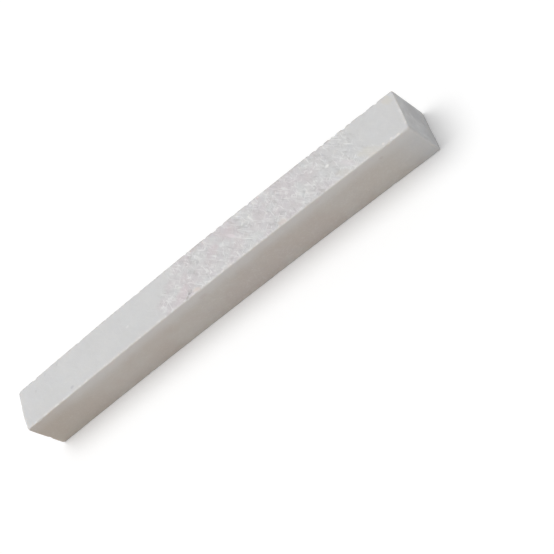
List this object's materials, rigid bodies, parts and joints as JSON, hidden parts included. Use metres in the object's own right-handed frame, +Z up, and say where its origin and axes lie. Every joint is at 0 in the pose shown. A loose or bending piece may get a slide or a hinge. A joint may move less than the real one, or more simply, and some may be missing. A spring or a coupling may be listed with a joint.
{
  "type": "soapstone marking stick",
  "caption": "Square stick of sawn pale soapstone, slightly bowed with flaked arrises, for marking metal, stone and cloth.",
  "frame": {"origin": "centre of the stick's bounding box, on the flat underside that it rests on", "axes": "+X along the stick towards its squarer end, +Y from the hollow front face to the swollen back face, +Z up from the flat underside"},
  "size_m": [0.1006, 0.0104, 0.0099],
  "materials": {
    "soapstone": "sawn and rubbed, matt and faintly waxy"
  },
  "bodies": {
    "root": {"chalk_stick": "soapstone"}
  },
  "joints": []
}
